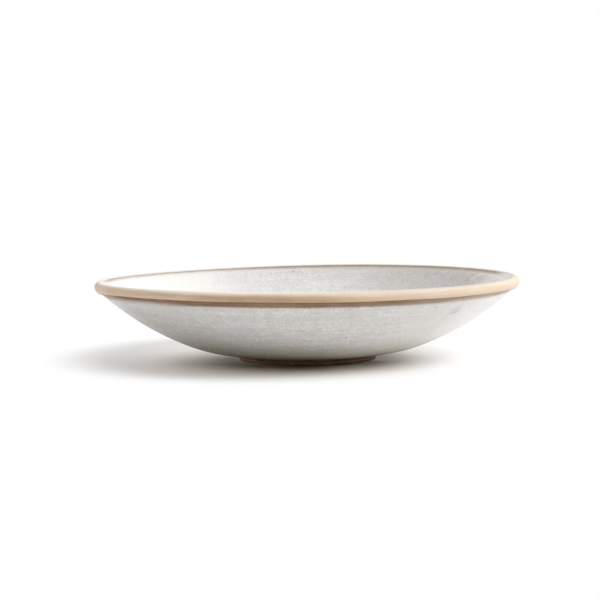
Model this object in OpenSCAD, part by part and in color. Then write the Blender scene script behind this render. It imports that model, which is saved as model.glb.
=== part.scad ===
// Shallow wheel-thrown stoneware bowl: speckled off-white glaze inside and out, a bare rounded rim
// with a dark line along each glaze edge, and a bare turned foot ring round a glazed well.
// Frame: +Z up on the bowl's axis, origin at the middle of the foot ring's resting face.

/* [Bowl] */
// Outer diameter across the rounded rim
rim_d = 230; // [200:1:260]
// Overall height, from the resting face to the top of the rim
bowl_h = 45; // [38:1:60]
// Thickness of the wall and floor, with both glaze layers
wall_t = 6; // [4.8:0.1:7]
// Thickness of each glaze layer
glaze_t = 0.6; // [0.3:0.05:0.9]

/* [Wall curve] */
// How far the lower arc of the wall reaches out from the foot
low_arc_w = 27; // [22:0.5:36]
// How far the lower arc of the wall rises
low_arc_h = 5.25; // [2:0.05:6.5]

/* [Rim] */
// Radius of the rounded rim
lip_r = 2.9; // [2.4:0.1:3.4]
// Distance from the rim's widest circle in to the top edge of the outer glaze
rim_band_w = 4.9; // [4:0.1:8]
// Distance from the top of the rim down to the top edge of the outer glaze
rim_band_h = 7.5; // [6.5:0.1:9.5]
// How far the outer dark line laps up onto the rounded rim
outer_line_lap = 0.45; // [0.2:0.05:2]
// Width of the dark line at the inner edge of the rim
inner_line_w = 1.5; // [0.8:0.1:2.5]

/* [Foot] */
// Outer diameter of the foot ring where it meets the wall
foot_d = 77; // [64:1:96]
// Height of the foot ring up to the outer glaze
foot_h = 4.2; // [3:0.1:6]
// Width of the foot ring where it meets the clay
foot_w = 6.5; // [5:0.1:9]
// How far the foot ring's outer side leans in towards the resting face
foot_draft = 0.7; // [0:0.1:1.2]
// Chamfer along both edges of the resting face
foot_edge = 0.5; // [0.2:0.1:1]
// Depth of the well inside the foot ring
well_depth = 5; // [4.2:0.1:6]
// Radius of the turning grooves round the foot ring
groove_r = 0.35; // [0.2:0.05:0.5]
// Number of turning grooves round the foot ring
groove_count = 2; // [1:1:3]

/* [Hidden] */

clay_colour = [0.72, 0.60, 0.48];
foot_colour = [0.36, 0.27, 0.20];
glaze_colour = [0.88, 0.87, 0.85];
line_colour = [0.48, 0.36, 0.26];

// Every profile below is drawn in the plane [distance from the axis, height] and turned round the axis.
// Neighbouring pieces use the same corner points, so their faces meet.
turn_steps = 180;
wall_steps = 24;
lip_steps = 32;
line_steps = 8;
$fn = turn_steps;

// A point at a distance from a centre, at an angle counted from straight down towards the outside
function around(centre, dist, a) = centre + dist * [sin(a), -cos(a)];

// Points along an arc, and the same points in the opposite order
function arc(centre, radius, a0, a1, steps) =
    [for (i = [0 : steps]) around(centre, radius, a0 + (a1 - a0) * i / steps)];
function reversed(points) = [for (i = [len(points) - 1 : -1 : 0]) points[i]];

// The direction of a tangent from a point to a circle; side is -1 for below the circle and 1 for above
function tangent_a(from, centre, radius, side) =
    let (d = centre - from)
    atan2(d[1], d[0]) + side * asin(radius / norm(d));

// Outer wall: a lower arc that leaves the foot level, then a flatter upper arc that carries on from it
foot_r = foot_d / 2;
low_end = [foot_r + low_arc_w, foot_h + low_arc_h];
low_r = (low_arc_w * low_arc_w + low_arc_h * low_arc_h) / (2 * low_arc_h);
low_c = [foot_r, foot_h + low_r];
low_a = 2 * atan2(low_arc_h, low_arc_w);
wall_top = [rim_d / 2 - rim_band_w, bowl_h - rim_band_h];
chord = wall_top - low_end;
chord_a = atan2(chord[1], chord[0]);
high_r = norm(chord) / (2 * sin(chord_a - low_a));
high_c = around(low_end, -high_r, low_a);
high_a = 2 * chord_a - low_a;

// The wall's curve at a depth below its outer surface, from the foot to the rim
function wall_curve(depth) = concat(
    arc(low_c, low_r - depth, 0, low_a, wall_steps),
    [for (i = [1 : wall_steps]) around(high_c, high_r - depth, low_a + (high_a - low_a) * i / wall_steps)]
);
clay_out = glaze_t;
clay_in = wall_t - glaze_t;
floor_z = foot_h + wall_t;
clay_floor_z = foot_h + clay_in;

// Rim: a straight flank on each side runs from the end of the wall to the rounded lip, and touches it smoothly
lip_c = [rim_d / 2 - lip_r, bowl_h - lip_r];
core_r = lip_r - glaze_t;
flank_out = around(high_c, high_r, high_a);
flank_in = around(high_c, high_r - wall_t, high_a);
out_a = tangent_a(flank_out, lip_c, lip_r, -1);
in_a = tangent_a(flank_in, lip_c, lip_r, 1);
in_turn = 180 + in_a;
line_a = out_a + outer_line_lap / lip_r * 180 / PI;
inner_line_run = inner_line_w * [cos(in_a), sin(in_a)];
core_out = around(high_c, high_r - clay_out, high_a);
core_in = around(high_c, high_r - clay_in, high_a);
line_in = around(lip_c, lip_r, in_turn);
line_core_in = around(lip_c, core_r, in_turn);

// Foot ring and the well inside it
well_r = foot_r - foot_w;
well_clay_z = well_depth + glaze_t;
foot_top = foot_h + glaze_t;
rest_out_r = foot_r - foot_draft - foot_edge;
rest_in_r = well_r + foot_edge;
side_h = foot_h - foot_edge;

// Distance of the foot ring's leaning side from the axis at a height, and the height of each groove on it
function foot_side_r(z) = foot_r - foot_draft * (foot_h - z) / side_h;
function groove_z(i) = foot_edge + (i - 0.5) * side_h / groove_count;

// Thrown clay wall and floor, under both glazes
module clay_body() {
    color(clay_colour)
        rotate_extrude()
            polygon(concat(
                [[0, well_clay_z], [well_r, well_clay_z], [well_r, foot_top]],
                wall_curve(clay_out),
                reversed(wall_curve(clay_in)),
                [[0, clay_floor_z]]
            ));
}

// Bare rounded rim
module rim_bead() {
    color(clay_colour)
        rotate_extrude()
            polygon(concat(
                [core_out],
                arc(lip_c, core_r, out_a, line_a, line_steps),
                arc(lip_c, lip_r, line_a, in_turn, lip_steps),
                [line_core_in, line_core_in - inner_line_run, core_in]
            ));
}

// Bare turned foot ring
module foot_ring() {
    color(foot_colour)
        rotate_extrude()
            difference() {
                polygon([
                    [rest_in_r, 0], [rest_out_r, 0], [rest_out_r + foot_edge, foot_edge],
                    [foot_r, foot_h], [foot_r, foot_top], [well_r, foot_top], [well_r, foot_edge]
                ]);
                for (i = [1 : groove_count])
                    translate([foot_side_r(groove_z(i)), groove_z(i)])
                        circle(groove_r);
            }
}

// Glaze on the outside of the wall, from the foot ring to the dark line
module outer_glaze() {
    color(glaze_colour)
        rotate_extrude()
            polygon(concat(wall_curve(0), reversed(wall_curve(clay_out))));
}

// Glaze on the floor and the inside of the wall, up to the dark line at the rim
module inner_glaze() {
    color(glaze_colour)
        rotate_extrude()
            polygon(concat(
                [[0, clay_floor_z]],
                wall_curve(clay_in),
                [line_core_in - inner_line_run, line_in - inner_line_run],
                reversed(wall_curve(wall_t)),
                [[0, floor_z]]
            ));
}

// Glaze in the well inside the foot ring
module base_glaze() {
    color(glaze_colour)
        rotate_extrude()
            translate([0, well_depth])
                square([well_r, glaze_t]);
}

// Dark line under the rim, where the outer glaze stops
module outer_line() {
    color(line_colour)
        rotate_extrude()
            polygon(concat(
                [flank_out],
                arc(lip_c, lip_r, out_a, line_a, line_steps),
                reversed(arc(lip_c, core_r, out_a, line_a, line_steps)),
                [core_out]
            ));
}

// Dark line inside the rim, where the inner glaze stops
module inner_line() {
    color(line_colour)
        rotate_extrude()
            polygon([line_in - inner_line_run, line_in, line_core_in, line_core_in - inner_line_run]);
}

clay_body();
rim_bead();
foot_ring();
outer_glaze();
inner_glaze();
base_glaze();
outer_line();
inner_line();
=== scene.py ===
"""Shallow wheel-thrown stoneware bowl, dressed over its CAD frame.

Every piece is turned round one axis. Those that show above the foot are stretches of one section, so their
edges meet, and one relief and one warp move them together: the slight saddle of the fired rim, the uneven
edge of the glaze and faint turning rings. Lengths are in millimetres, apart from the floor's and the
camera's, which are in metres, and directions are in degrees round the axis.
"""
import math

import bpy
import numpy as np
from mathutils import Matrix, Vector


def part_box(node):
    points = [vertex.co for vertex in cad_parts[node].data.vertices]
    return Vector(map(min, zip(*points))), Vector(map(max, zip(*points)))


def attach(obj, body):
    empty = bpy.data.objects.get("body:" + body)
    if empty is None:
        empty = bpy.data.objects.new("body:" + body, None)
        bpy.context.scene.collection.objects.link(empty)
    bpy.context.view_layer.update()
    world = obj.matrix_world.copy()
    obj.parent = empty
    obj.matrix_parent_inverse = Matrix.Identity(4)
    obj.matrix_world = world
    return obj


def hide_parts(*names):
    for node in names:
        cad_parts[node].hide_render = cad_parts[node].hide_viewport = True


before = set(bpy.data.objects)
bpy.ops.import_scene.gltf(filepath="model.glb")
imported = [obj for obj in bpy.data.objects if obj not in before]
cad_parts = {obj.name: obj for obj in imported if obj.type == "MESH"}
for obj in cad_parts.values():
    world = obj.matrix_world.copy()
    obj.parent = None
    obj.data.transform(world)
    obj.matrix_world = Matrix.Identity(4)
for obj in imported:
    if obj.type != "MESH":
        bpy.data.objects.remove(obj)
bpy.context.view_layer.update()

MM = 0.001
AROUND = 640            # points round the axis
STEP = 0.1              # spacing of the section's own points
SEED = 23               # of the random waves


def node_box(node):
    """Lowest and highest corner of a CAD node, in millimetres."""
    return [np.array(corner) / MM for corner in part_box(node)]


# Sizes read from the frame
rim_r, _, bowl_h = node_box("rim_bead")[1]
wall_top = np.array([node_box("outer_glaze")[1][0], node_box("outer_line")[0][2]])
foot_h = node_box("outer_glaze")[0][2]
foot_r = node_box("foot_ring")[1][0]
well_r, _, well_top = node_box("base_glaze")[1]
well_z = node_box("base_glaze")[0][2]
glaze_t = well_top - well_z
wall_t = node_box("inner_glaze")[0][2] - foot_h + glaze_t

# Sizes of the wall's curve and of the rim that a box doesn't tell, as in the CAD model
LOW_ARC_W, LOW_ARC_H = 27.0, 5.25
LIP_R = 2.9
OUTER_LINE_LAP = 0.45
INNER_LINE_W = 1.5

# Irregularities of the hand-made piece
# The rim's rise, as an even part and waves round the rim: number of waves, cosine and sine
RIM_WARP = ((0, 0.09, 0.0), (1, 0.31, 0.18), (2, -0.09, 0.46), (3, -0.03, -0.13))
RIM_PUSH, RIM_PUSH_WAVES = 0.06, (2, 7)         # how far the rim is out of round, and in which waves
CORNER_EASE = 0.45      # rounding of the section's corners
GLAZE_WAVE = 0.25       # how far the glaze edges wander
LINE_WAVE = 0.07        # how far the bare clay's edges wander
# The waves of those edges: share of the long ones, then the long and the short ones as for wander()
GLAZE_WAVES = 0.6, (9, 40), (40, 130, 0.2)
LINE_WAVES = 0.5, (6, 30), (50, 150, 0.1)
LINE_RISE = 0.50        # how far the stain creeps up the bead past the CAD line's edge
LINE_TILT = (-0.18, -0.13)      # one wave of that rise round the rim, cosine and sine
# Where the stain's two edges run higher or lower along the section: rise, direction, reach in degrees
GLAZE_RISES = (
    (0.14, 220, 10), (-1.1, 198, 7), (0.16, 257, 6), (-0.18, 298, 8), (0.45, 312, 7), (0.3, 336, 12))
LINE_RISES = ((-0.4, 200, 10), (-0.1, 250, 9), (-0.16, 281, 8), (-0.14, 307, 6))
GLAZE_STEP = 0.06       # height of the outer glaze's edge over the stained clay
INNER_STEP = 0.6        # height of the inner glaze's edge as a share of that
GLAZE_BEVEL, STAIN_BEVEL = 0.35, 0.3    # how far those steps reach into the glaze and into the stain
OUTER_FADE = (1.4, 0.5)         # where the outer one ends, before and after the outer line's upper edge
INNER_FADE = (0.5, 0.8)         # where the inner one ends, before and after the inner line's upper edge
NECK_FILL = 0.25        # rounding where the bead meets the wall
NECK_DROP, NECK_REACH = 1.0, 1.1        # how far below the bare clay it is, and its reach
FOOT_THIN = 0.2         # how far the glaze thins out towards the foot
FOOT_THIN_REACH = (6, 32)       # where that is full and where gone along the section
LOW_TINT_REACH = (11, 55)      # where the glaze is painted darker, partly clay showing through it and partly painted shade, in the same way
TOE_SHADE_REACH = (10, 27)            # where shade is painted next to the foot, in the same way
RING_DEPTH = 0.010      # turning rings under the glaze
RINGS, RING_SPACING, RING_SUM = 9, (1.8, 5.5), 3        # how many, and about what they add up to
FOOT_FADE, RIM_FADE = 12, 6     # over which they fade out towards the foot and towards the rim
SWELL = 0.03            # slow unevenness of the wall
SWELLS, SWELL_SUM = 12, 4       # how many, and about what they add up to
AXIS_FADE = (2, 30)     # radii over which rings and swells come in from the axis


# Section of the bowl

def around(centre, dist, a):
    """Point at a distance from a centre, the angle counted from straight down towards the outside."""
    return np.array(centre) + dist * np.array([math.sin(a), -math.cos(a)])


def arc(centre, radius, a0, a1):
    """Points of an arc between two such angles."""
    steps = max(2, int(abs(a1 - a0) * radius / STEP))
    return [around(centre, radius, a0 + (a1 - a0) * i / steps) for i in range(steps + 1)]


def tangent_a(start, centre, radius, side):
    """Angle of the straight line from a point that touches a circle on one of its sides."""
    d = np.array(centre) - np.array(start)
    return math.atan2(d[1], d[0]) + side * math.asin(radius / math.hypot(*d))


def resample(points, step):
    """Even points along a line, and their distances along it."""
    points = np.array(points)
    far = np.concatenate([[0], np.cumsum(np.hypot(*np.diff(points, axis=0).T))])
    s = np.linspace(0, far[-1], int(far[-1] / step) + 1)
    return s, np.stack([np.interp(s, far, points[:, i]) for i in (0, 1)], axis=1)


def eased(points, reach):
    """The line with its corners rounded over about a reach on each side; its ends stay."""
    half = int(3 * reach / STEP)
    weights = np.exp(-0.5 * (np.arange(-half, half + 1) * STEP / reach) ** 2)
    weights /= weights.sum()
    padded = np.concatenate([
        2 * points[0] - points[half:0:-1], points, 2 * points[-1] - points[-2:-half - 2:-1]])
    return np.stack([np.convolve(padded[:, i], weights, mode="valid") for i in (0, 1)], axis=1)


low_end = np.array([foot_r + LOW_ARC_W, foot_h + LOW_ARC_H])
low_r = (LOW_ARC_W ** 2 + LOW_ARC_H ** 2) / (2 * LOW_ARC_H)
low_c = np.array([foot_r, foot_h + low_r])
low_a = 2 * math.atan2(LOW_ARC_H, LOW_ARC_W)
chord = wall_top - low_end
chord_a = math.atan2(chord[1], chord[0])
high_r = math.hypot(*chord) / (2 * math.sin(chord_a - low_a))
high_c = around(low_end, -high_r, low_a)
high_a = 2 * chord_a - low_a

lip_c = np.array([rim_r - LIP_R, bowl_h - LIP_R])
flank_out = around(high_c, high_r, high_a)
flank_in = around(high_c, high_r - wall_t, high_a)
out_a = tangent_a(flank_out, lip_c, LIP_R, -1)
in_a = tangent_a(flank_in, lip_c, LIP_R, 1)
in_turn = math.pi + in_a
line_a = out_a + OUTER_LINE_LAP / LIP_R
line_in = around(lip_c, LIP_R, in_turn)
line_in_end = line_in - INNER_LINE_W * np.array([math.cos(in_a), math.sin(in_a)])
floor_z = foot_h + wall_t

path_s, path = resample(
    arc(low_c, low_r, 0, low_a) + arc(high_c, high_r, low_a, high_a)
    + arc(lip_c, LIP_R, out_a, in_turn)
    + arc(high_c, high_r - wall_t, high_a, low_a) + arc(low_c, low_r - wall_t, low_a, 0)
    + [np.array([0, floor_z])], STEP)
path = eased(path, CORNER_EASE)
path_tangent = np.gradient(path, axis=0)
path_tangent /= np.hypot(*path_tangent.T)[:, None]
path_normal = np.stack([path_tangent[:, 1], -path_tangent[:, 0]], axis=1)


def mark(point):
    """Distance along the section of its nearest place to a point."""
    return path_s[np.argmin(np.hypot(*(path - point).T))]


S_GLAZE = mark(flank_out)                       # outer glaze ends, outer line begins
S_LINE = mark(around(lip_c, LIP_R, line_a)) + LINE_RISE     # outer line ends, bare rim begins
S_BARE = mark(line_in)                          # bare rim ends, inner line begins
S_INNER = mark(line_in_end)                     # inner line ends, inner glaze begins
S_END = path_s[-1]                              # the axis

# Waves round the axis

turn = np.linspace(0, 2 * math.pi, AROUND, endpoint=False)
dice = np.random.default_rng(SEED)


def phase():
    return dice.uniform(0, 2 * math.pi)


def strength():
    return dice.uniform(0.4, 1)


def wander(lowest, highest, fall=0.5):
    """A smooth line round the axis, up to 1 high: a sum of random waves, lowest to highest in number.
    A wave is lower the more often it repeats, by the power fall."""
    line = sum(
        dice.normal() / k ** fall * np.cos(k * turn + phase())
        for k in range(lowest, highest + 1))
    return line / np.abs(line).max()


def ragged_line(share, long_waves, short_waves):
    """A line with a share of long waves and short ones on them."""
    return share * wander(*long_waves) + (1 - share) * wander(*short_waves)


rim_warp = sum(c * np.cos(k * turn) + d * np.sin(k * turn) for k, c, d in RIM_WARP)
rim_push = wander(*RIM_PUSH_WAVES)
glaze_wave = ragged_line(*GLAZE_WAVES)
line_wave = ragged_line(*LINE_WAVES)
bare_wave = ragged_line(*LINE_WAVES)
inner_wave = ragged_line(*GLAZE_WAVES)
# Waves round the axis, waves along the section, phase and strength
swells = [(dice.integers(1, 8), dice.uniform(-0.25, 0.25), phase(), strength()) for _ in range(SWELLS)]
# Spacing along the section, waves round the axis, phase and strength
rings = [(dice.uniform(*RING_SPACING), dice.integers(-1, 2), phase(), strength()) for _ in range(RINGS)]


def hump(x, reach):
    """1 at 0, and falling off on both sides over about a reach."""
    return np.exp(-(x / reach) ** 2)


def risen(places):
    """A line round the axis with some soft rises."""
    return sum(rise * hump(np.degrees(turn) - a, reach) for rise, a, reach in places)


s_glaze = S_GLAZE + GLAZE_WAVE * glaze_wave + risen(GLAZE_RISES)
s_line = S_LINE + LINE_WAVE * line_wave + risen(LINE_RISES)
s_line = s_line + LINE_TILT[0] * np.cos(turn) + LINE_TILT[1] * np.sin(turn)
s_bare = S_BARE + LINE_WAVE * bare_wave
s_inner = S_INNER + GLAZE_WAVE * inner_wave


def ease(x, lo, hi):
    """0 up to a limit and 1 from another, with a soft rise between them."""
    x = np.clip((x - lo) / (hi - lo), 0, 1)
    return x * x * (3 - 2 * x)


def past(s, edge, before, after):
    """0 before an edge along the section and 1 after it."""
    return ease(s, edge - before, edge + after)


def relief(s, r):
    """Height over the section's line, for rows of points round the axis."""
    ring = sum(a * np.sin(2 * math.pi * s / w + k * turn + p) for w, k, p, a in rings) / RING_SUM
    swell = sum(a * np.sin(m * s + k * turn + p) for k, m, p, a in swells) / SWELL_SUM
    on_outside = ease(s, 0, FOOT_FADE) * (1 - past(s, S_GLAZE, RIM_FADE, 0))
    on_wall = on_outside + past(s, S_INNER, 0, RIM_FADE)
    height = ease(r, *AXIS_FADE) * (RING_DEPTH * ring * on_wall + SWELL * swell)
    outer_step = past(s, s_glaze, GLAZE_BEVEL, STAIN_BEVEL) * (1 - past(s, s_line, *OUTER_FADE))
    inner_step = (1 - past(s, s_inner, STAIN_BEVEL, GLAZE_BEVEL)) * past(s, s_bare, *INNER_FADE)
    height = height - GLAZE_STEP * (outer_step + INNER_STEP * inner_step)
    height = height + NECK_FILL * hump(s - S_LINE + NECK_DROP, NECK_REACH)
    return height - FOOT_THIN * (1 - ease(s, *FOOT_THIN_REACH))


def warped(r, z):
    """Points round the axis, in metres, with the rim's warp growing from the foot outwards."""
    out = np.clip((r - foot_r) / (rim_r - foot_r), 0, None) ** 2
    z = z + out * rim_warp
    r = r + out * RIM_PUSH * rim_push
    return np.stack([r * np.cos(turn), r * np.sin(turn), z + 0 * turn], axis=-1) * MM


def skin(s, under=0.0):
    """One row round the axis at distances s along the section, on the bowl's surface or under it."""
    s = s + 0 * turn
    r, z, nr, nz = (np.interp(s, path_s, a) for a in (*path.T, *path_normal.T))
    lift = relief(s, r) - under
    return warped(r + nr * lift, z + nz * lift)


def turned(r, z):
    """One row round the axis at a place of the section's plane."""
    return warped(r + 0 * turn, z + 0 * turn)


def on_axis(z):
    """One point on the axis, in metres."""
    return np.array([0, 0, z * MM])


# Meshes

END_REACH = 2           # how far from an end of a layer the closer rows are
BACK_ROWS = (4, 12)     # fewest rows of a layer's hidden side, and how many times fewer than in front


def in_scene(name, data):
    """A new object with some data, linked to the scene."""
    thing = bpy.data.objects.new(name, data)
    bpy.context.scene.collection.objects.link(thing)
    return thing


def lathe(name, rows, **values):
    """Closed mesh through rows of points, each a ring round the axis or one point on it.
    Each attribute has one number or one ring of numbers for each row."""
    points = [row if row.ndim == 2 else row[None] for row in rows]
    counts = [len(ring) for ring in points]
    starts = np.cumsum([0] + counts)
    faces = []
    near = np.arange(AROUND)
    far = np.roll(near, -1)
    for i, row in enumerate(rows):
        j = (i + 1) % len(rows)
        a, b = starts[i], starts[j]
        if row.ndim == 2 and rows[j].ndim == 2:
            faces += np.stack([a + near, a + far, b + far, b + near], axis=1).tolist()
        elif row.ndim == 2:
            faces += np.stack([a + near, a + far, 0 * near + b], axis=1).tolist()
        elif rows[j].ndim == 2:
            faces += np.stack([0 * near + a, b + far, b + near], axis=1).tolist()
    points = np.concatenate(points)
    corners = np.array([face[:3] for face in faces])
    corner_a, corner_b, corner_c = (points[corners[:, i]] for i in range(3))
    if np.einsum("ij,ij->i", corner_a, np.cross(corner_b, corner_c)).sum() < 0:
        faces = [face[::-1] for face in faces]
    mesh = bpy.data.meshes.new(name)
    mesh.from_pydata(points.tolist(), [], faces)
    for key, numbers in values.items():
        filled = np.concatenate([np.broadcast_to(number, count) for number, count in zip(numbers, counts)])
        mesh.attributes.new(key, "FLOAT", "POINT").data.foreach_set("value", filled)
    mesh.shade_smooth()
    return in_scene(name, mesh)


def stretch(start, end, count, tight_start=0, tight_end=0):
    """Distances along the section from start to end, with some closer rows near an end."""
    length = float(np.mean(end - start))
    share = np.linspace(0, 1, count)
    near = END_REACH / length
    if tight_start:
        share = np.concatenate([np.linspace(0, near, tight_start, endpoint=False), share[share >= near]])
    if tight_end:
        share = np.concatenate([share[share <= 1 - near], np.linspace(1 - near, 1, tight_end + 1)[1:]])
    return [start + (end - start) * u for u in share]


def layer(name, start, end, count, tight_start=0, tight_end=0, **rules):
    """A thin closed layer on the bowl's surface between two places of the section.
    Each attribute is a rule for the distance along the section."""
    shown = stretch(start, end, count, tight_start, tight_end)
    fewest, fewer = BACK_ROWS
    back = stretch(end, start, max(fewest, count // fewer))
    rows = [skin(s) for s in shown] + [skin(s, glaze_t) for s in back]
    if np.ndim(end) == 0 and end == S_END:
        top = floor_z + float(relief(np.full(AROUND, S_END), 0.0)[0])
        rows[len(shown) - 1] = on_axis(top)
        rows[len(shown)] = on_axis(top - glaze_t)
    values = {}
    for key, rule in rules.items():
        rings_of_values = [np.broadcast_to(rule(s), AROUND) for s in shown + back]
        values[key] = [ring if row.ndim == 2 else ring.mean() for ring, row in zip(rings_of_values, rows)]
    return lathe(name, rows, **values)


# Materials

MIX_A, MIX_B, MIX_OUT = 6, 7, 2         # the Mix node's sockets for colours
DOT_EDGE = (0.55, 1.1)  # between which shares of its radius a dot fades
SPOT_CORE = 0.3         # up to which share of its radius a spot is full
OUTER_WALL, INNER_WALL = (28, 58), (52, 88)     # over which radii the tints of a side come in
# Between which values of a noise a pattern comes in: soft, harder, and only where the noise is high
MOST, MIDDLE, HIGH = (0.3, 0.7), (0.35, 0.65), (0.5, 0.8)
ROUGH_SPREAD = 0.2      # how much rougher a surface is at the top of a noise than at its bottom


def srgb(*levels):
    """Linear colour of 0 to 255 levels, by the sRGB curve."""
    return tuple(
        (v / 255 / 12.92 if v <= 10.31 else ((v / 255 + 0.055) / 1.055) ** 2.4) for v in levels) + (1.0,)


def seen_rays(tree):
    """1 for what is seen, directly or in gloss and glass, and 0 for light that falls on the object."""
    rays = tree.nodes.new("ShaderNodeLightPath")
    seen = rays.outputs["Is Camera Ray"]
    for name in ("Is Glossy Ray", "Is Transmission Ray"):
        either = tree.nodes.new("ShaderNodeMath")
        either.operation = "MAXIMUM"
        tree.links.new(seen, either.inputs[0])
        tree.links.new(rays.outputs[name], either.inputs[1])
        seen = either.outputs[0]
    return seen


class Look:
    """A node material with a Principled shader. Most methods add nodes and return their output;
    tint() and marks() change the colour so far, and surface(), bump() and cover() set the shader."""

    def __init__(self, name):
        self.material = bpy.data.materials.new(name)
        self.material.use_nodes = True
        self.tree = self.material.node_tree
        self.tree.nodes.clear()
        self.bsdf = self.add("ShaderNodeBsdfPrincipled")
        self.output = self.add("ShaderNodeOutputMaterial")
        self.put(self.output.inputs["Surface"], self.bsdf.outputs["BSDF"])
        place = self.add("ShaderNodeTexCoord").outputs["Object"]
        self.place = self.vector("SCALE", place, scale=1 / MM)
        self.flat = self.vector("MULTIPLY", self.place, (1, 1, 0))
        self.colour = None

    def add(self, kind, **settings):
        node = self.tree.nodes.new(kind)
        for key, value in settings.items():
            setattr(node, key, value)
        return node

    def put(self, socket, value):
        if isinstance(value, bpy.types.NodeSocket):
            self.tree.links.new(value, socket)
        else:
            socket.default_value = value

    def math(self, operation, *values, clamp=False):
        node = self.add("ShaderNodeMath", operation=operation, use_clamp=clamp)
        for socket, value in zip(node.inputs, values):
            self.put(socket, value)
        return node.outputs[0]

    def times(self, *values):
        """The product of some values."""
        product = values[0]
        for value in values[1:]:
            product = self.math("MULTIPLY", product, value)
        return product

    def rest(self, value):
        """What a value leaves of 1."""
        return self.math("SUBTRACT", 1.0, value)

    def between(self, share, start, end):
        """A number that goes from start to end as the share goes from 0 to 1."""
        return self.math("MULTIPLY_ADD", share, end - start, start)

    def most(self, values):
        """The largest of some values."""
        largest = values[0]
        for value in values[1:]:
            largest = self.math("MAXIMUM", largest, value)
        return largest

    def vector(self, operation, *values, scale=None):
        node = self.add("ShaderNodeVectorMath", operation=operation)
        for socket, value in zip(node.inputs, values):
            self.put(socket, value)
        if scale is not None:
            self.put(node.inputs["Scale"], scale)
        return node.outputs["Value" if operation in ("DISTANCE", "LENGTH", "DOT_PRODUCT") else "Vector"]

    def span(self, value, lo, hi, to_lo=0.0, to_hi=1.0):
        """A value between two limits, eased to another range."""
        node = self.add("ShaderNodeMapRange", interpolation_type="SMOOTHSTEP")
        for socket, number in zip(node.inputs, (value, lo, hi, to_lo, to_hi)):
            self.put(socket, number)
        return node.outputs[0]

    def mix(self, share, a, b):
        """Colour a with a share of colour b."""
        node = self.add("ShaderNodeMix", data_type="RGBA")
        self.put(node.inputs[0], share)
        self.put(node.inputs[MIX_A], a)
        self.put(node.inputs[MIX_B], b)
        return node.outputs[MIX_OUT]

    def tint(self, share, shade):
        """A share of another colour over the colour so far."""
        self.colour = self.mix(share, self.colour, shade)

    def noise(self, place, size, detail=2.0, rough=0.5, seed=0.0):
        """Noise whose features are about that many millimetres across."""
        node = self.add("ShaderNodeTexNoise", noise_dimensions="4D")
        settings = dict(Vector=place, W=seed, Scale=1 / size, Detail=detail, Roughness=rough)
        for name, value in settings.items():
            self.put(node.inputs[name], value)
        return node.outputs["Fac"]

    def dots(self, spacing, chance, small, large, seed=0.0):
        """Round dots at random places: a share of the cells hold one, of a radius from small to large."""
        shifted = self.vector("ADD", self.place, (seed, -seed, 0.5 * seed))
        node = self.add("ShaderNodeTexVoronoi", feature="F1")
        self.put(node.inputs["Vector"], shifted)
        self.put(node.inputs["Scale"], 1 / spacing)
        pick = self.add("ShaderNodeSeparateColor")
        self.put(pick.inputs[0], node.outputs["Color"])
        radius = self.between(pick.outputs[1], small / spacing, large / spacing)
        inside = self.span(self.math("DIVIDE", node.outputs["Distance"], radius), *DOT_EDGE, 1.0, 0.0)
        return self.times(inside, self.math("LESS_THAN", pick.outputs[0], chance))

    def value(self, key):
        """An attribute of the mesh, 0 where it has none of that name."""
        return self.add("ShaderNodeAttribute", attribute_name=key).outputs["Fac"]

    def facing(self, direction):
        """1 on the side that looks in a direction, and -1 on the opposite side."""
        a = math.radians(direction)
        outward = self.vector("NORMALIZE", self.flat)
        return self.vector("DOT_PRODUCT", outward, (math.cos(a), math.sin(a), 0))

    def ringed(self, round_share, up_share):
        """A place on a band round the axis: its features stretch where a share is small."""
        out = self.vector("SCALE", self.vector("NORMALIZE", self.flat), scale=rim_r * round_share)
        height = self.vector("DOT_PRODUCT", self.place, (0, 0, up_share))
        reach = self.times(self.vector("LENGTH", self.flat), up_share)
        lift = self.add("ShaderNodeCombineXYZ")
        self.put(lift.inputs[2], self.math("ADD", reach, height))
        return self.vector("ADD", out, lift.outputs[0])

    def fade(self, centre, limits, near=1.0, far=0.0):
        """One number up to a distance from a place, and another from a greater distance."""
        return self.span(self.vector("DISTANCE", self.place, centre), *limits, near, far)

    def marks(self, places, radius, share, shade):
        """Round marks of one kind over the colour so far."""
        spots = self.most([self.fade(place, (SPOT_CORE * radius, radius)) for place in places])
        self.tint(self.times(spots, share), shade)

    def sides(self, places):
        """The largest share of some sides of the bowl: direction, how closely to face it, full share."""
        return self.most([self.span(self.facing(a), close, 1.0, 0.0, share) for a, close, share in places])

    def walls(self, inside):
        """1 on the outer wall, and 1 on the inner wall near the rim; both are 0 towards the middle."""
        radius = self.vector("LENGTH", self.flat)
        outer = self.times(self.rest(inside), self.span(radius, *OUTER_WALL))
        return outer, self.times(inside, self.span(radius, *INNER_WALL))

    def either(self, inside, outer_places, inner_places):
        """The share of some sides of the outer wall and of others of the inner wall."""
        outer, inner = self.walls(inside)
        share = self.times(self.sides(outer_places), outer)
        return self.math("MULTIPLY_ADD", self.sides(inner_places), inner, share)

    def surface(self, rough, shine=0.5):
        """The colour so far, a roughness and a specular level."""
        settings = {"Base Color": self.colour, "Roughness": rough, "Specular IOR Level": shine}
        for name, value in settings.items():
            self.put(self.bsdf.inputs[name], value)

    def bump(self, height, depth):
        """Relief of a depth in millimetres."""
        node = self.add("ShaderNodeBump")
        self.put(node.inputs["Height"], height)
        self.put(node.inputs["Distance"], depth * MM)
        self.put(node.inputs["Strength"], 1.0)
        self.put(self.bsdf.inputs["Normal"], node.outputs["Normal"])

    def cover(self, share, shader):
        """Another shader over a share of the Principled one."""
        node = self.add("ShaderNodeMixShader")
        for socket, value in zip(node.inputs, (share, self.bsdf.outputs["BSDF"], shader)):
            self.put(socket, value)
        self.put(self.output.inputs["Surface"], node.outputs[0])


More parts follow.
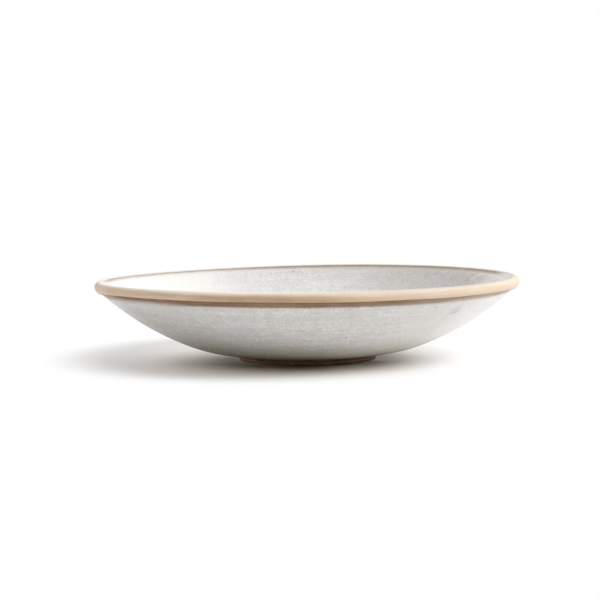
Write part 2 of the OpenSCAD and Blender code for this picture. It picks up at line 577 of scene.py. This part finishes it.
# Brown of the stain outside and inside, and its colour where it fades into the outer glaze
LINE_BROWN, INNER_BROWN, LINE_PALE = srgb(137, 107, 82), srgb(150, 131, 111), srgb(205, 191, 183)
# Where light and shade are painted on the stain, outside and inside: direction, how closely to face it,
# share of the painted colour
LIT_STAIN_OUTSIDE = ((303, 0.985, 0.16), (338, 0.8, 0.45), (346, 0.96, 0.85), (188, 0.88, 0.85))
LIT_SHADED_STAIN_INSIDE = ((140, 0.72, 0.55), (190, 0.95, 0.8), (358, 0.955, 0.85))
# Where it fades out softly into the outer glaze, in the same way, and how much of the pale colour it gets
SOFT_LINE, SOFT_SHARE = ((214, 0.88, 1.0), (335, 0.82, 1.0), (295, 0.965, 0.25)), 0.9

# Glaze, in the order in which its patterns lie on each other
# The ground and its mottling; a pair of shares is for outside and inside
COOL_WHITE, WARM_WHITE = srgb(237, 237, 237), srgb(240, 239, 238)
MOTTLE_GREY, MOTTLE_SHARE = srgb(203, 201, 198), 0.62
BLOTCH_GREY, BLOTCH_SHARE, BLOTCH_RANGE = srgb(205, 202, 196), (0.42, 0.48), (0.4, 0.7)
RING_GREY, RING_SHARE = srgb(196, 194, 190), 0.28
# Sides where it is less mottled, outside and inside: direction, how closely to face it, share
CALM_OUTSIDE, CALM_OUTER_GREY = ((325, 0.8, 0.5),), srgb(222, 221, 218)
CALM_INSIDE, CALM_INNER_GREY = ((150, 0.6, 0.8),), srgb(218, 217, 214)
# Tinted sides, most of them painted light and shade: the sides, the wall, and the colours between the
# mottles and in them
OUTER, INNER = 0, 1
# Smoother, paler outer glaze on the right and left: partly smoother texture, partly painted light
SMOOTH_LIT_GLAZE = ((345, 0.82, 0.85), (192, 0.93, 0.6)), OUTER, srgb(252, 251, 250), srgb(232, 231, 230)
# Painted shade on grey, pink and warm sides of the inner wall
SHADED_GREY_GLAZE = ((108, 0.94, 0.5),), INNER, srgb(215, 214, 211), srgb(193, 192, 189)
SHADED_PINK_GLAZE = ((29, 0.94, 0.5),), INNER, srgb(216, 202, 198), srgb(194, 180, 176)
SHADED_WARM_GLAZE = ((54, 0.965, 0.4),), INNER, srgb(212, 205, 197), srgb(190, 183, 175)
# Painted light on the inner wall under the rim on the right
LIT_WHITE_GLAZE = ((3, 0.95, 0.75),), INNER, srgb(252, 245, 243), srgb(230, 222, 220)
# Fine dots all over, and bold ones here and there
FINE_DOTS, FINE_GREY = dict(spacing=1.5, chance=0.6, small=0.2, large=0.5), srgb(156, 152, 146)
FINE_SHARE = (0.5, 0.62)
BOLD_DOTS, BOLD_BROWN = dict(spacing=17, chance=0.4, small=0.22, large=0.5, seed=5), srgb(110, 96, 84)
BOLD_SHARE = 0.6
# A painted highlight inside, as a row of spots, and three spots of painted shade beside it
SHADE_PLACES = ((97.2, 44.2, 42.9), (95.0, 46.0, 41.8), (93.0, 43.8, 38.9))
SHADE_SPOTS = dict(places=SHADE_PLACES, radius=2.8, share=0.26, shade=srgb(170, 160, 159))
HIGHLIGHT_PLACES = ((101.4, 36.9, 43.4), (99.3, 38.9, 42.0), (97.0, 40.9, 40.9), (95.0, 42.5, 39.9))
HIGHLIGHT_STREAK = dict(places=HIGHLIGHT_PLACES, radius=2.2, share=0.75, shade=srgb(238, 230, 222))
# Tints near the rim: all along the inner edge, painted shade in a grey band beside it on one side, and in
# streaks
NEAR_BROWN, NEAR_SHARE, NEAR_REACH = srgb(200, 188, 179), 0.28, 5.0
SHADE_BAND_GREY, SHADE_BAND_SIDES = srgb(190, 187, 180), ((60, 0.8, 0.6),)
BAND_START, BAND_END = (0.6, 2.4), (2.6, 5.0)
STREAK_BROWN, STREAK_SHARE, STREAK_REACH = srgb(196, 184, 168), 0.24, 16.0
# Darker glaze near the foot, partly clay showing through the thin glaze and partly painted shade, more or
# less by the rings, the sides where less of it is painted further down, and painted shade next to the foot
THIN_SHADED_PALE, THIN_SHADED_DEEP, THIN_SHADED_SHARE = srgb(173, 168, 141), srgb(152, 147, 121), (0.55, 1.45)
LESS_SHADED_LOW = ((312, 0.8, 0.7),)
TOE_SHADE_BROWN, TOE_SHADE_SHARE = srgb(96, 86, 73), 0.28
# One grey smudge, fainter and stronger by the mottles, and single iron specks
SMUDGE = dict(places=((73.9, -72.5, 31.9),), radius=5.5, shade=srgb(150, 150, 150))
SMUDGE_SHARE = (0.1, 0.4)
SPECK_PLACES = (
    (-8.0, 105.8, 41.9), (-76.2, -68.1, 30.8), (19.1, -85.1, 20.4), (-54.7, -60.6, 17.1),
    (63.3, -86.1, 34.6))
SPECKS = dict(places=SPECK_PLACES, radius=0.95, share=0.62, shade=srgb(88, 80, 72))
# The stain's ragged edge: how far it strays, its reddish fringe outside, and how far it feathers out
EDGE_STRAY = 1.5
FRINGE_RED, FRINGE_SHARE, FRINGE_REACH = srgb(196, 158, 144), 0.24, (0.4, 1.6)
FEATHER_START, FEATHER_REACH, SOFT_REACH = -0.6, (1.1, 2.7), 1.3
# Gloss, outside and inside, and relief beside that of the mottles
GLAZE_ROUGH = (0.25, 0.45)
GRAIN_HEIGHT, RING_HEIGHT, GLAZE_RELIEF = 0.35, 0.6, 0.02


def glaze_ground(look, inside, mottle, rings):
    """White glaze with soft clouds, and grey mottles, blotches and turning rings in it."""
    cloud = look.noise(look.place, size=24)
    blotch = look.noise(look.place, size=4.5, seed=3.0)
    look.colour = look.mix(look.span(cloud, *MIDDLE), COOL_WHITE, WARM_WHITE)
    look.tint(look.span(mottle, *MOST, 0.0, MOTTLE_SHARE), MOTTLE_GREY)
    look.tint(look.span(blotch, *BLOTCH_RANGE, 0.0, look.between(inside, *BLOTCH_SHARE)), BLOTCH_GREY)
    look.tint(look.span(rings, *MIDDLE, 0.0, RING_SHARE), RING_GREY)


def glaze_sides(look, inside, mottle):
    """Sides with fewer mottles, sides with painted light and painted shade, and the dots, which are
    fainter on the calm sides.
    """
    calm = look.either(inside, CALM_OUTSIDE, CALM_INSIDE)
    look.tint(calm, look.mix(inside, CALM_OUTER_GREY, CALM_INNER_GREY))
    walls = look.walls(inside)
    for sides, wall, pale, deep in (SMOOTH_LIT_GLAZE, SHADED_GREY_GLAZE, SHADED_PINK_GLAZE, SHADED_WARM_GLAZE, LIT_WHITE_GLAZE):
        shade = look.mix(look.span(mottle, *MOST), pale, deep)
        look.tint(look.times(look.sides(sides), walls[wall]), shade)
    dotted = look.times(look.between(inside, *FINE_SHARE), look.rest(calm))
    look.tint(look.times(look.dots(**FINE_DOTS), dotted), FINE_GREY)
    look.tint(look.times(look.dots(**BOLD_DOTS), BOLD_SHARE), BOLD_BROWN)


def glaze_near_rim(look, edge, inside):
    """Brownish glaze along the rim, and painted shade in a grey band beside it."""
    near = look.span(edge, 0.0, NEAR_REACH, NEAR_SHARE, 0.0)
    look.tint(look.times(near, inside), NEAR_BROWN)
    # Painted shade below the rim inside, on one side
    shade_band = look.times(look.span(edge, *BAND_START), look.span(edge, *BAND_END, 1.0, 0.0))
    look.tint(look.times(shade_band, look.sides(SHADE_BAND_SIDES), inside), SHADE_BAND_GREY)
    streak = look.noise(look.ringed(round_share=1.0, up_share=0.08), size=2.4)
    reach = look.span(edge, 0.0, STREAK_REACH, STREAK_SHARE, 0.0)
    look.tint(look.times(look.span(streak, *HIGH), reach), STREAK_BROWN)


def glaze_near_foot(look, low, mottle, rings):
    """Darker glaze towards the foot, partly clay through the thin glaze and partly painted shade, and
    painted shade next to the foot.
    """
    thin_and_shaded = look.math("MULTIPLY", low, look.between(rings, *THIN_SHADED_SHARE), clamp=True)
    less_shaded = look.times(look.sides(LESS_SHADED_LOW), look.rest(low))
    clay = look.mix(look.span(mottle, *MOST), THIN_SHADED_PALE, THIN_SHADED_DEEP)
    look.tint(look.times(thin_and_shaded, look.rest(less_shaded)), clay)
    look.tint(look.times(look.value("toe"), TOE_SHADE_SHARE), TOE_SHADE_BROWN)


def glaze_edge(look, edge, inside):
    """The stain feathers into the glaze along a ragged edge, with a fringe under it outside."""
    stray = look.math("SUBTRACT", look.noise(look.place, size=1.1), 0.5)
    ragged = look.math("MULTIPLY_ADD", stray, EDGE_STRAY, edge)
    # Less fringe and feather where the stain carries painted light and shade
    clear = look.rest(look.either(inside, LIT_STAIN_OUTSIDE, LIT_SHADED_STAIN_INSIDE))
    fringe = look.span(ragged, *FRINGE_REACH, FRINGE_SHARE, 0.0)
    look.tint(look.times(fringe, look.rest(inside), clear), FRINGE_RED)
    soft = look.times(look.sides(SOFT_LINE), look.walls(inside)[OUTER])
    reach = look.math("MULTIPLY_ADD", soft, SOFT_REACH, look.between(inside, *FEATHER_REACH))
    feather = look.span(ragged, FEATHER_START, reach, 1.0, 0.0)
    brown = look.mix(inside, LINE_BROWN, INNER_BROWN)
    look.tint(look.times(feather, clear), look.mix(look.times(soft, SOFT_SHARE), brown, LINE_PALE))


def glaze_look():
    look = Look("speckled_glaze")
    edge, low, inside = (look.value(key) for key in ("edge", "low", "inside"))
    mottle = look.noise(look.place, size=1.5, detail=3, rough=0.6)
    grain = look.noise(look.place, size=0.5, rough=0.6)
    rings = look.noise(look.ringed(round_share=0.05, up_share=1.0), size=2.2, seed=7.0)
    glaze_ground(look, inside, mottle, rings)
    glaze_sides(look, inside, mottle)
    # Painted shade and a painted highlight on the inner wall
    look.marks(**SHADE_SPOTS)
    look.marks(**HIGHLIGHT_STREAK)
    glaze_near_rim(look, edge, inside)
    glaze_near_foot(look, low, mottle, rings)
    look.marks(**SMUDGE, share=look.span(mottle, *MOST, *SMUDGE_SHARE))
    look.marks(**SPECKS)
    glaze_edge(look, edge, inside)
    look.surface(look.math("MULTIPLY_ADD", mottle, ROUGH_SPREAD, look.between(inside, *GLAZE_ROUGH)))
    height = look.math("MULTIPLY_ADD", grain, GRAIN_HEIGHT, mottle)
    look.bump(look.math("MULTIPLY_ADD", rings, RING_HEIGHT, height), GLAZE_RELIEF)
    return look.material


# Bare clay; a pair of shares is for the bowl's right and left
# Its left side, and a patch in front that keeps the clay's own colour while the sides are painted lighter
# as light: direction, and how closely to face it for none and all
LEFT_SIDE, LEFT_REACH = 205, (-0.1, 0.85)
FRONT_PATCH, FRONT_PATCH_REACH = 262, (0.9, 0.99)
SIDE_LIGHT_SHARE = 0.85       # of the pale colour outside that patch, which is painted light
# Turning lines, grain and flecks, and painted shade in the foot's grooves, all in the fleck colour
LINES_SHARE, LINES_RANGE = (0.14, 0.26), (0.4, 0.65)
GRAIN_SHARE, GRAIN_RANGE = 0.35, (0.55, 0.8)
FLECKS, FLECK_SHARE = dict(spacing=2.2, chance=0.4, small=0.15, large=0.4, seed=9), 0.45
GROOVE_SHADE_SHARE = 0.75
# Where shade is painted on the foot: direction, how closely to face it, share
SHADED_FOOT_SIDES = ((236, 0.97, 0.42), (297, 0.975, 0.25))
# Where a golden highlight is painted on the rim's lower edge, in the same way, and where across the rim
# that is full and gone
RIM_EDGE_HIGHLIGHT, RIM_EDGE_HIGHLIGHT_REACH, HIGHLIGHT_GOLD = ((289, 0.955, 0.7),), (0.0, 0.3), srgb(220, 190, 152)
# Where its middle is dark, in the same way
DARK_RIM, DIM_REACH, DIM_TAN = ((263.5, 0.992, 0.5),), (0.2, 0.5), srgb(184, 154, 120)
# Where light is painted on its sides, in the same way, and the colour there on the right and on the left
LIT_RIM_SIDES, LIT_RIM_RIGHT, LIT_RIM_LEFT = (
    ((346, 0.94, 0.7), (195, 0.955, 0.85)), srgb(217, 202, 186), srgb(245, 222, 204))
# The colour of the highlight painted on the foot's lower edge
LIT_EDGE_TAN, LIT_EDGE_SHARE = srgb(226, 205, 180), (0.08, 0.42)
# The painted highlight on the rim's top, warm lower down and cool further in: its colour on the right and
# on the left, where it is greyish and where it is cream
WARM_TOP_HIGHLIGHT = srgb(226, 213, 198), srgb(253, 239, 223), srgb(220, 214, 210), srgb(217, 203, 187)
COOL_TOP_HIGHLIGHT = srgb(222, 216, 207), srgb(246, 242, 236), srgb(214, 209, 206), srgb(213, 203, 194)
TOP_HIGHLIGHT_SHARE = (0.55, 0.9)
TOP_HIGHLIGHT_START, TOP_HIGHLIGHT_COOLS = (0.28, 0.6), (0.45, 0.8)       # where across the rim it begins and turns cool
# Where it is greyish and where cream: direction, how closely to face it, share
GREY_RIM = ((160, 0.6, 0.9), (185, 0.965, 1.0))
CREAM_RIM = ((354, 0.9, 0.9),)
# Where it is narrow and where wide, in the same way
NARROW_TOP_HIGHLIGHT = ((198, 0.85, 0.08),)
WIDE_TOP_HIGHLIGHT = ((245, 0.97, 0.05), (280, 0.985, 0.05), (298, 0.99, 0.04))
CLAY_SHINE = 0.35
LINES_HEIGHT, CLAY_RELIEF = 0.8, 0.05           # relief of the lines beside that of the grain


def clay_ground(look, left, grain, lines, dark, light, pale, fleck):
    """Clouded clay, painted lighter on its sides than in a patch in front as painted light, with turning
    lines, grain, flecks and painted shade in the grooves.
    """
    cloud = look.noise(look.place, size=9)
    side_light = look.span(look.facing(FRONT_PATCH), *FRONT_PATCH_REACH, SIDE_LIGHT_SHARE, 0.0)
    dark, light = (look.mix(side_light, shade, pale) for shade in (dark, light))
    look.colour = look.mix(look.span(cloud, *MOST), dark, light)
    look.tint(look.span(lines, *LINES_RANGE, 0.0, look.between(left, *LINES_SHARE)), fleck)
    look.tint(look.span(grain, *GRAIN_RANGE, 0.0, GRAIN_SHARE), fleck)
    look.tint(look.times(look.dots(**FLECKS), FLECK_SHARE), fleck)
    # Painted shade in the foot's grooves
    look.tint(look.span(look.value("groove"), 0.0, 1.0, 0.0, GROOVE_SHADE_SHARE), fleck)


def clay_sides(look, left, edge, fleck):
    """Painted shade on sides of the foot, a painted golden highlight on the rim's lower edge, a darker
    middle and painted light on sides of the rim, and a painted highlight on the foot's lower edge. On the
    foot the edge reads 0, because it has no such attribute."""
    on_rim = look.math("GREATER_THAN", edge, 0.0)
    look.tint(look.times(look.sides(SHADED_FOOT_SIDES), look.rest(on_rim)), fleck)
    for sides, reach, shade in ((RIM_EDGE_HIGHLIGHT, RIM_EDGE_HIGHLIGHT_REACH, HIGHLIGHT_GOLD), (DARK_RIM, DIM_REACH, DIM_TAN)):
        look.tint(look.times(look.sides(sides), look.span(edge, *reach, 1.0, 0.0), on_rim), shade)
    look.tint(look.times(look.sides(LIT_RIM_SIDES), on_rim), look.mix(left, LIT_RIM_RIGHT, LIT_RIM_LEFT))
    look.tint(look.times(look.value("worn"), look.between(left, *LIT_EDGE_SHARE)), LIT_EDGE_TAN)


def clay_top_highlight(look, left, edge):
    """The painted highlight on the rim's top."""
    greyish, cream = look.sides(GREY_RIM), look.sides(CREAM_RIM)
    shades = []
    for right_shade, left_shade, grey_shade, cream_shade in (WARM_TOP_HIGHLIGHT, COOL_TOP_HIGHLIGHT):
        shade = look.mix(left, right_shade, left_shade)
        shade = look.mix(greyish, shade, grey_shade)
        shades.append(look.mix(cream, shade, cream_shade))
    highlight = look.mix(look.span(edge, *TOP_HIGHLIGHT_COOLS), *shades)
    across = look.math("SUBTRACT", edge, look.sides(NARROW_TOP_HIGHLIGHT))
    across = look.math("ADD", across, look.sides(WIDE_TOP_HIGHLIGHT))
    look.tint(look.times(look.span(across, *TOP_HIGHLIGHT_START), look.between(left, *TOP_HIGHLIGHT_SHARE)), highlight)


def clay_look(name, dark, light, lit_right, lit_left, fleck, rough):
    look = Look(name)
    edge = look.value("edge")
    left = look.span(look.facing(LEFT_SIDE), *LEFT_REACH)
    grain = look.noise(look.place, size=0.55, detail=3, rough=0.65)
    lines = look.noise(look.ringed(round_share=0.04, up_share=1.0), size=0.8, rough=0.55)
    clay_ground(look, left, grain, lines, dark, light, look.mix(left, lit_right, lit_left), fleck)
    clay_sides(look, left, edge, fleck)
    # A painted highlight on the rim's top
    clay_top_highlight(look, left, edge)
    look.surface(look.math("MULTIPLY_ADD", grain, ROUGH_SPREAD, rough), CLAY_SHINE)
    look.bump(look.math("MULTIPLY_ADD", lines, LINES_HEIGHT, grain), CLAY_RELIEF)
    return look.material


# Iron stain; a pair of colours is for outside and inside
STAIN_DARK = srgb(126, 95, 69), srgb(136, 120, 103)
STAIN_LIGHT = srgb(145, 114, 86), srgb(156, 140, 122)
STAIN_GRAIN, STAIN_GRAIN_SHARE = srgb(102, 77, 56), 0.4
# Its paler start next to the glaze: colour, share of that colour, share of the width of the stain
STAIN_START, START_SHARE, START_REACH = srgb(190, 172, 152), 0.25, 0.3
# Light and shade painted on it: a painted highlight outside, painted shade inside on the far side, painted
# light inside on the near side
STAIN_HIGHLIGHT_OUTER, STAIN_SHADE_FAR, NEAR_STAIN_LIT = srgb(214, 198, 182), srgb(168, 166, 165), srgb(238, 231, 226)
NEAR_SIDE, NEAR_SIDE_REACH = 290, (-0.7, 0.35)  # its direction, and how closely to face it
SOFT_WIDTH = 0.62       # share of its width over which it fades into the outer glaze
STAIN_ROUGH, STAIN_RELIEF = 0.5, 0.03


def line_look():
    look = Look("iron_stain")
    edge, inside = look.value("edge"), look.value("inside")
    cloud = look.noise(look.place, size=7, detail=3)
    grain = look.noise(look.place, size=0.6, detail=3, rough=0.65)
    dark, light = look.mix(inside, *STAIN_DARK), look.mix(inside, *STAIN_LIGHT)
    look.colour = look.mix(look.span(cloud, *MOST), dark, light)
    look.tint(look.span(grain, *HIGH, 0.0, STAIN_GRAIN_SHARE), STAIN_GRAIN)
    look.tint(look.span(edge, 0.0, START_REACH, START_SHARE, 0.0), STAIN_START)
    near_side = look.span(look.facing(NEAR_SIDE), *NEAR_SIDE_REACH)
    # Painted light and shade on the stain
    stain_light_and_shade = look.mix(inside, STAIN_HIGHLIGHT_OUTER, look.mix(near_side, STAIN_SHADE_FAR, NEAR_STAIN_LIT))
    look.tint(look.either(inside, LIT_STAIN_OUTSIDE, LIT_SHADED_STAIN_INSIDE), stain_light_and_shade)
    soft = look.times(look.sides(SOFT_LINE), look.rest(inside))
    look.tint(look.times(soft, look.span(edge, 0.0, SOFT_WIDTH, SOFT_SHARE, 0.0)), LINE_PALE)
    look.surface(look.math("MULTIPLY_ADD", grain, ROUGH_SPREAD, STAIN_ROUGH))
    look.bump(grain, STAIN_RELIEF)
    return look.material


# The right and left side colours of each clay are painted light on the sides of the rim and the foot
bare_clay = clay_look(
    "bare_clay", dark=srgb(207, 178, 147), light=srgb(222, 195, 164), lit_right=srgb(216, 198, 178),
    lit_left=srgb(241, 215, 187), fleck=srgb(152, 124, 97), rough=0.64)
# The foot's clay is the rim's clay painted darker, as shade
foot_clay = clay_look(
    "foot_clay", dark=srgb(170, 139, 116), light=srgb(188, 157, 132), lit_right=srgb(174, 148, 128),
    lit_left=srgb(200, 171, 145), fleck=srgb(98, 75, 59), rough=0.7)
glaze = glaze_look()
stain = line_look()


# Pieces

def dress(piece, node, material):
    piece.data.materials.append(material)
    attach(piece, "root")
    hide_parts(node)


# On the glaze the attribute edge is the distance from its edge, and on the stain the share of the width
# between a place and the glaze; low and the toe attribute are 1 next to the foot, where the toe attribute
# carries painted shade and low carries it in part, and inside is 1 on the inner pieces
dress(layer("glaze_outside", 0.0 * turn, s_glaze, count=92, tight_start=4, tight_end=12,
            edge=lambda s: s_glaze - s, low=lambda s: 1 - ease(s, *LOW_TINT_REACH),
            toe=lambda s: 1 - ease(s, *TOE_SHADE_REACH)),
      "outer_glaze", glaze)
dress(layer("line_outside", s_glaze, s_line, count=12, edge=lambda s: (s - s_glaze) / (s_line - s_glaze)),
      "outer_line", stain)
dress(layer("line_inside", s_bare, s_inner, count=9, edge=lambda s: (s_inner - s) / (s_inner - s_bare),
            inside=lambda s: 1.0),
      "inner_line", stain)
dress(layer("glaze_inside", s_inner, S_END, count=112, tight_start=12, edge=lambda s: s - s_inner,
            inside=lambda s: 1.0),
      "inner_glaze", glaze)

# Bare rim, with the clay under it; its attribute edge goes from 0 at the outer line to 1 at the inner one
RIM_ROWS = 42


def rim_piece():
    core_out = around(high_c, high_r - glaze_t, high_a)
    core_in = around(high_c, high_r - wall_t + glaze_t, high_a)
    line_back = (line_in + line_in_end) / 2 + glaze_t * np.array([math.sin(in_a), -math.cos(in_a)])
    shown = [skin(s) for s in stretch(s_line, s_bare, RIM_ROWS)]
    hidden = [turned(*place) for place in (line_back, core_in, core_out)]
    return lathe("rim_bare", shown + hidden, edge=list(np.linspace(0, 1, RIM_ROWS)) + [0.0] * len(hidden))


dress(rim_piece(), "rim_bead", bare_clay)

# Turned foot: its taper, its worn edge and its grooves
FOOT_DRAFT, FOOT_EDGE = 0.9, 0.7
FOOT_EASE = 0.22        # rounding of its corners
GROOVE_DEPTH, GROOVE_REACH, GROOVE_HEIGHTS = 0.45, 0.4, (1.05, 2.85, 3.9)
FLANK_ROOM = 0.3        # a place that far inside the tapered side is still on it
FOOT_SKIP = 2           # one row for so many points of its line
foot_top = foot_h + glaze_t


def foot_piece():
    rest_in = well_r + FOOT_EDGE
    flank = foot_r - FOOT_DRAFT
    line = [np.array(p) for p in (
        (well_r, foot_top), (well_r, FOOT_EDGE), (rest_in, 0), (flank - FOOT_EDGE, 0), (flank, FOOT_EDGE),
        (foot_r, foot_h), (foot_r, foot_top))]
    _, line = resample(line, STEP)
    r, z = eased(line, FOOT_EASE)[::FOOT_SKIP].T
    groove = sum(hump(z - height, GROOVE_REACH) for height in GROOVE_HEIGHTS) * (r > flank - FLANK_ROOM)
    rows = [turned(*place) for place in zip(r - GROOVE_DEPTH * groove, z)]
    # The foot's lower edge gets a painted highlight through this attribute
    return lathe("foot_turned", rows, groove=groove, worn=hump(z, FOOT_EDGE))


dress(foot_piece(), "foot_ring", foot_clay)

# Glazed well
WELL_START, WELL_ROWS, WELL_BACK_ROWS = 0.5, 36, 6
WELL_HANG, WELL_HANG_REACH = 0.25, 0.5  # how far the glaze hangs down along the well's wall, and its reach
WELL_EDGE = 9.0         # the well counts as that far from the glaze's edge


def well_piece():
    rows = [on_axis(well_z)]
    for r in np.linspace(WELL_START, well_r, WELL_ROWS):
        rows.append(turned(r, well_z - WELL_HANG * math.exp(-(well_r - r) / WELL_HANG_REACH)))
    for r in np.linspace(well_r, WELL_START, WELL_BACK_ROWS):
        rows.append(turned(r, well_top))
    rows.append(on_axis(well_top))
    return lathe("glaze_well", rows, edge=[WELL_EDGE] * len(rows))


dress(well_piece(), "base_glaze", glaze)

# Clay wall and floor between the glazes
BODY_SKIP = 20          # one row for so many points of its curves


def body_piece():
    line = [(0, well_top), (well_r, well_top), (well_r, foot_top)]
    for depth, way in ((glaze_t, 1), (wall_t - glaze_t, -1)):
        curve = arc(low_c, low_r - depth, 0, low_a) + arc(high_c, high_r - depth, low_a, high_a)
        line += curve[::BODY_SKIP * way]
    line += [(0, floor_z - glaze_t)]
    return lathe("clay_wall", [turned(r, z) if r > 0 else on_axis(z) for r, z in line])


dress(body_piece(), "clay_body", bare_clay)

# Floor, light and camera

FLOOR_REACH = 3.0
FLOOR_COLOUR, FLOOR_ROUGH = (0.95, 0.938, 0.925, 1.0), 0.9
WHITE = (1, 1, 1, 1)
# Colours of the floor as it is seen in the shadow and close to the foot, and where: place, then how far
# from it they are full and gone (mm)
SHADOW_COLOUR, SHADOW_PLACE = (0.935, 0.87, 0.82, 1.0), ((-40, 10, 0), (60, 122))
FOOT_SHADE, FOOT_PLACE = (0.888, 0.757, 0.664, 1.0), ((-14, 0, 0), (40, 92))
# The shadow is full near the foot, paler under the wall and gone outside the rim, in the same way
SHADOW_PALE = 0.34
SHADOW_CORE = (-5, -2, 0), (31, 87)
SHADOW_RIM = (-15, 24, 0), (92, 137)
# It is also paler in some pools, and darker in two: place, radius (mm), share
SHADOW_POOLS = (
    ((-42, 61, 0), 97, 0.34), ((61, 32, 0), 58, 0.2), ((37, -5, 0), 17, 0.085), ((22, -36, 0), 22, 0.03),
    ((-42, 8, 0), 18, -0.05), ((56, -44, 0), 42, -0.085))
POOL_COLOUR = (1.0, 0.94, 0.88, 1.0)            # of the paler floor close to the foot
AMBIENT = 0.02
# Each light: direction round the bowl and height in degrees, strength, angular size in degrees
LIGHTS = {
    "key": (-20.0, 37.0, 2.84, 36.0),
    "top": (90.0, 76.0, 1.27, 95.0),
    "back": (90.0, 32.0, 0.42, 40.0),
    "fill": (180.0, 8.0, 0.64, 40.0),
    "side": (0.0, 10.0, 0.4, 30.0),
}
# The camera: its place, how it is turned in degrees, and its lens
CAMERA_BACK, CAMERA_UP = 0.805, 0.0959
CAMERA_PITCH, CAMERA_PAN, CAMERA_ROLL = 4.514, 0.269, -0.742
FOCAL_PIXELS, IMAGE_PIXELS, SENSOR_MM = 1475.7, 600, 36


def floor_paint():
    """Pale paint, seen warmer in the shadow, which fades into white around it."""
    paint = Look("floor_paint")
    seen = seen_rays(paint.tree)
    close = paint.times(paint.fade(*FOOT_PLACE), seen)
    paint.colour = paint.mix(paint.times(paint.fade(*SHADOW_PLACE), seen), FLOOR_COLOUR, SHADOW_COLOUR)
    paint.tint(close, FOOT_SHADE)
    paint.surface(FLOOR_ROUGH, shine=0.0)
    share = paint.math(
        "ADD", paint.fade(*SHADOW_CORE, 0, SHADOW_PALE), paint.fade(*SHADOW_RIM, 0, 1 - SHADOW_PALE))
    for place, radius, pool_share in SHADOW_POOLS:
        share = paint.math("ADD", share, paint.fade(place, (0, radius), pool_share), clamp=True)
    white = paint.add("ShaderNodeEmission")
    paint.put(white.inputs["Color"], paint.mix(close, WHITE, POOL_COLOUR))
    paint.cover(paint.times(share, seen), white.outputs[0])
    return paint.material


def studio_world():
    """White where it is seen, and a faint light on the object."""
    world = bpy.data.worlds.new("studio")
    world.use_nodes = True
    nodes, links = world.node_tree.nodes, world.node_tree.links
    nodes.clear()
    either, sky = nodes.new("ShaderNodeMixShader"), nodes.new("ShaderNodeOutputWorld")
    links.new(seen_rays(world.node_tree), either.inputs[0])
    for socket, level in ((either.inputs[1], AMBIENT), (either.inputs[2], 1.0)):
        light = nodes.new("ShaderNodeBackground")
        light.inputs["Color"].default_value = WHITE
        light.inputs["Strength"].default_value = level
        links.new(light.outputs[0], socket)
    links.new(either.outputs[0], sky.inputs["Surface"])
    return world


def rotation(degrees, axis):
    return Matrix.Rotation(math.radians(degrees), 4, axis)


def sun(name, azimuth, height, energy, size):
    """Soft distant light from a direction counted round from the right side towards the back."""
    lamp = bpy.data.lights.new(name, "SUN")
    lamp.energy = energy
    lamp.angle = math.radians(size)
    in_scene(name, lamp).matrix_world = rotation(azimuth, "Z") @ rotation(90 - height, "Y")


def photo_camera():
    lens = bpy.data.cameras.new("camera")
    lens.sensor_width = SENSOR_MM
    lens.lens = FOCAL_PIXELS / IMAGE_PIXELS * SENSOR_MM
    camera = in_scene("camera", lens)
    camera.matrix_world = (
        Matrix.Translation((0, -CAMERA_BACK, CAMERA_UP)) @ rotation(CAMERA_PAN, "Z")
        @ rotation(90 - CAMERA_PITCH, "X") @ rotation(CAMERA_ROLL, "Z"))
    return camera


floor_mesh = bpy.data.meshes.new("floor")
ends = (-FLOOR_REACH, FLOOR_REACH)
floor_mesh.from_pydata([(x, y, 0) for y in ends for x in ends], [], [(0, 1, 3, 2)])
floor_mesh.materials.append(floor_paint())
floor = in_scene("floor", floor_mesh)

bpy.context.scene.world = studio_world()
for name, light in LIGHTS.items():
    sun(name, *light)
bpy.context.scene.camera = photo_camera()
bpy.context.scene.view_settings.view_transform = "Standard"
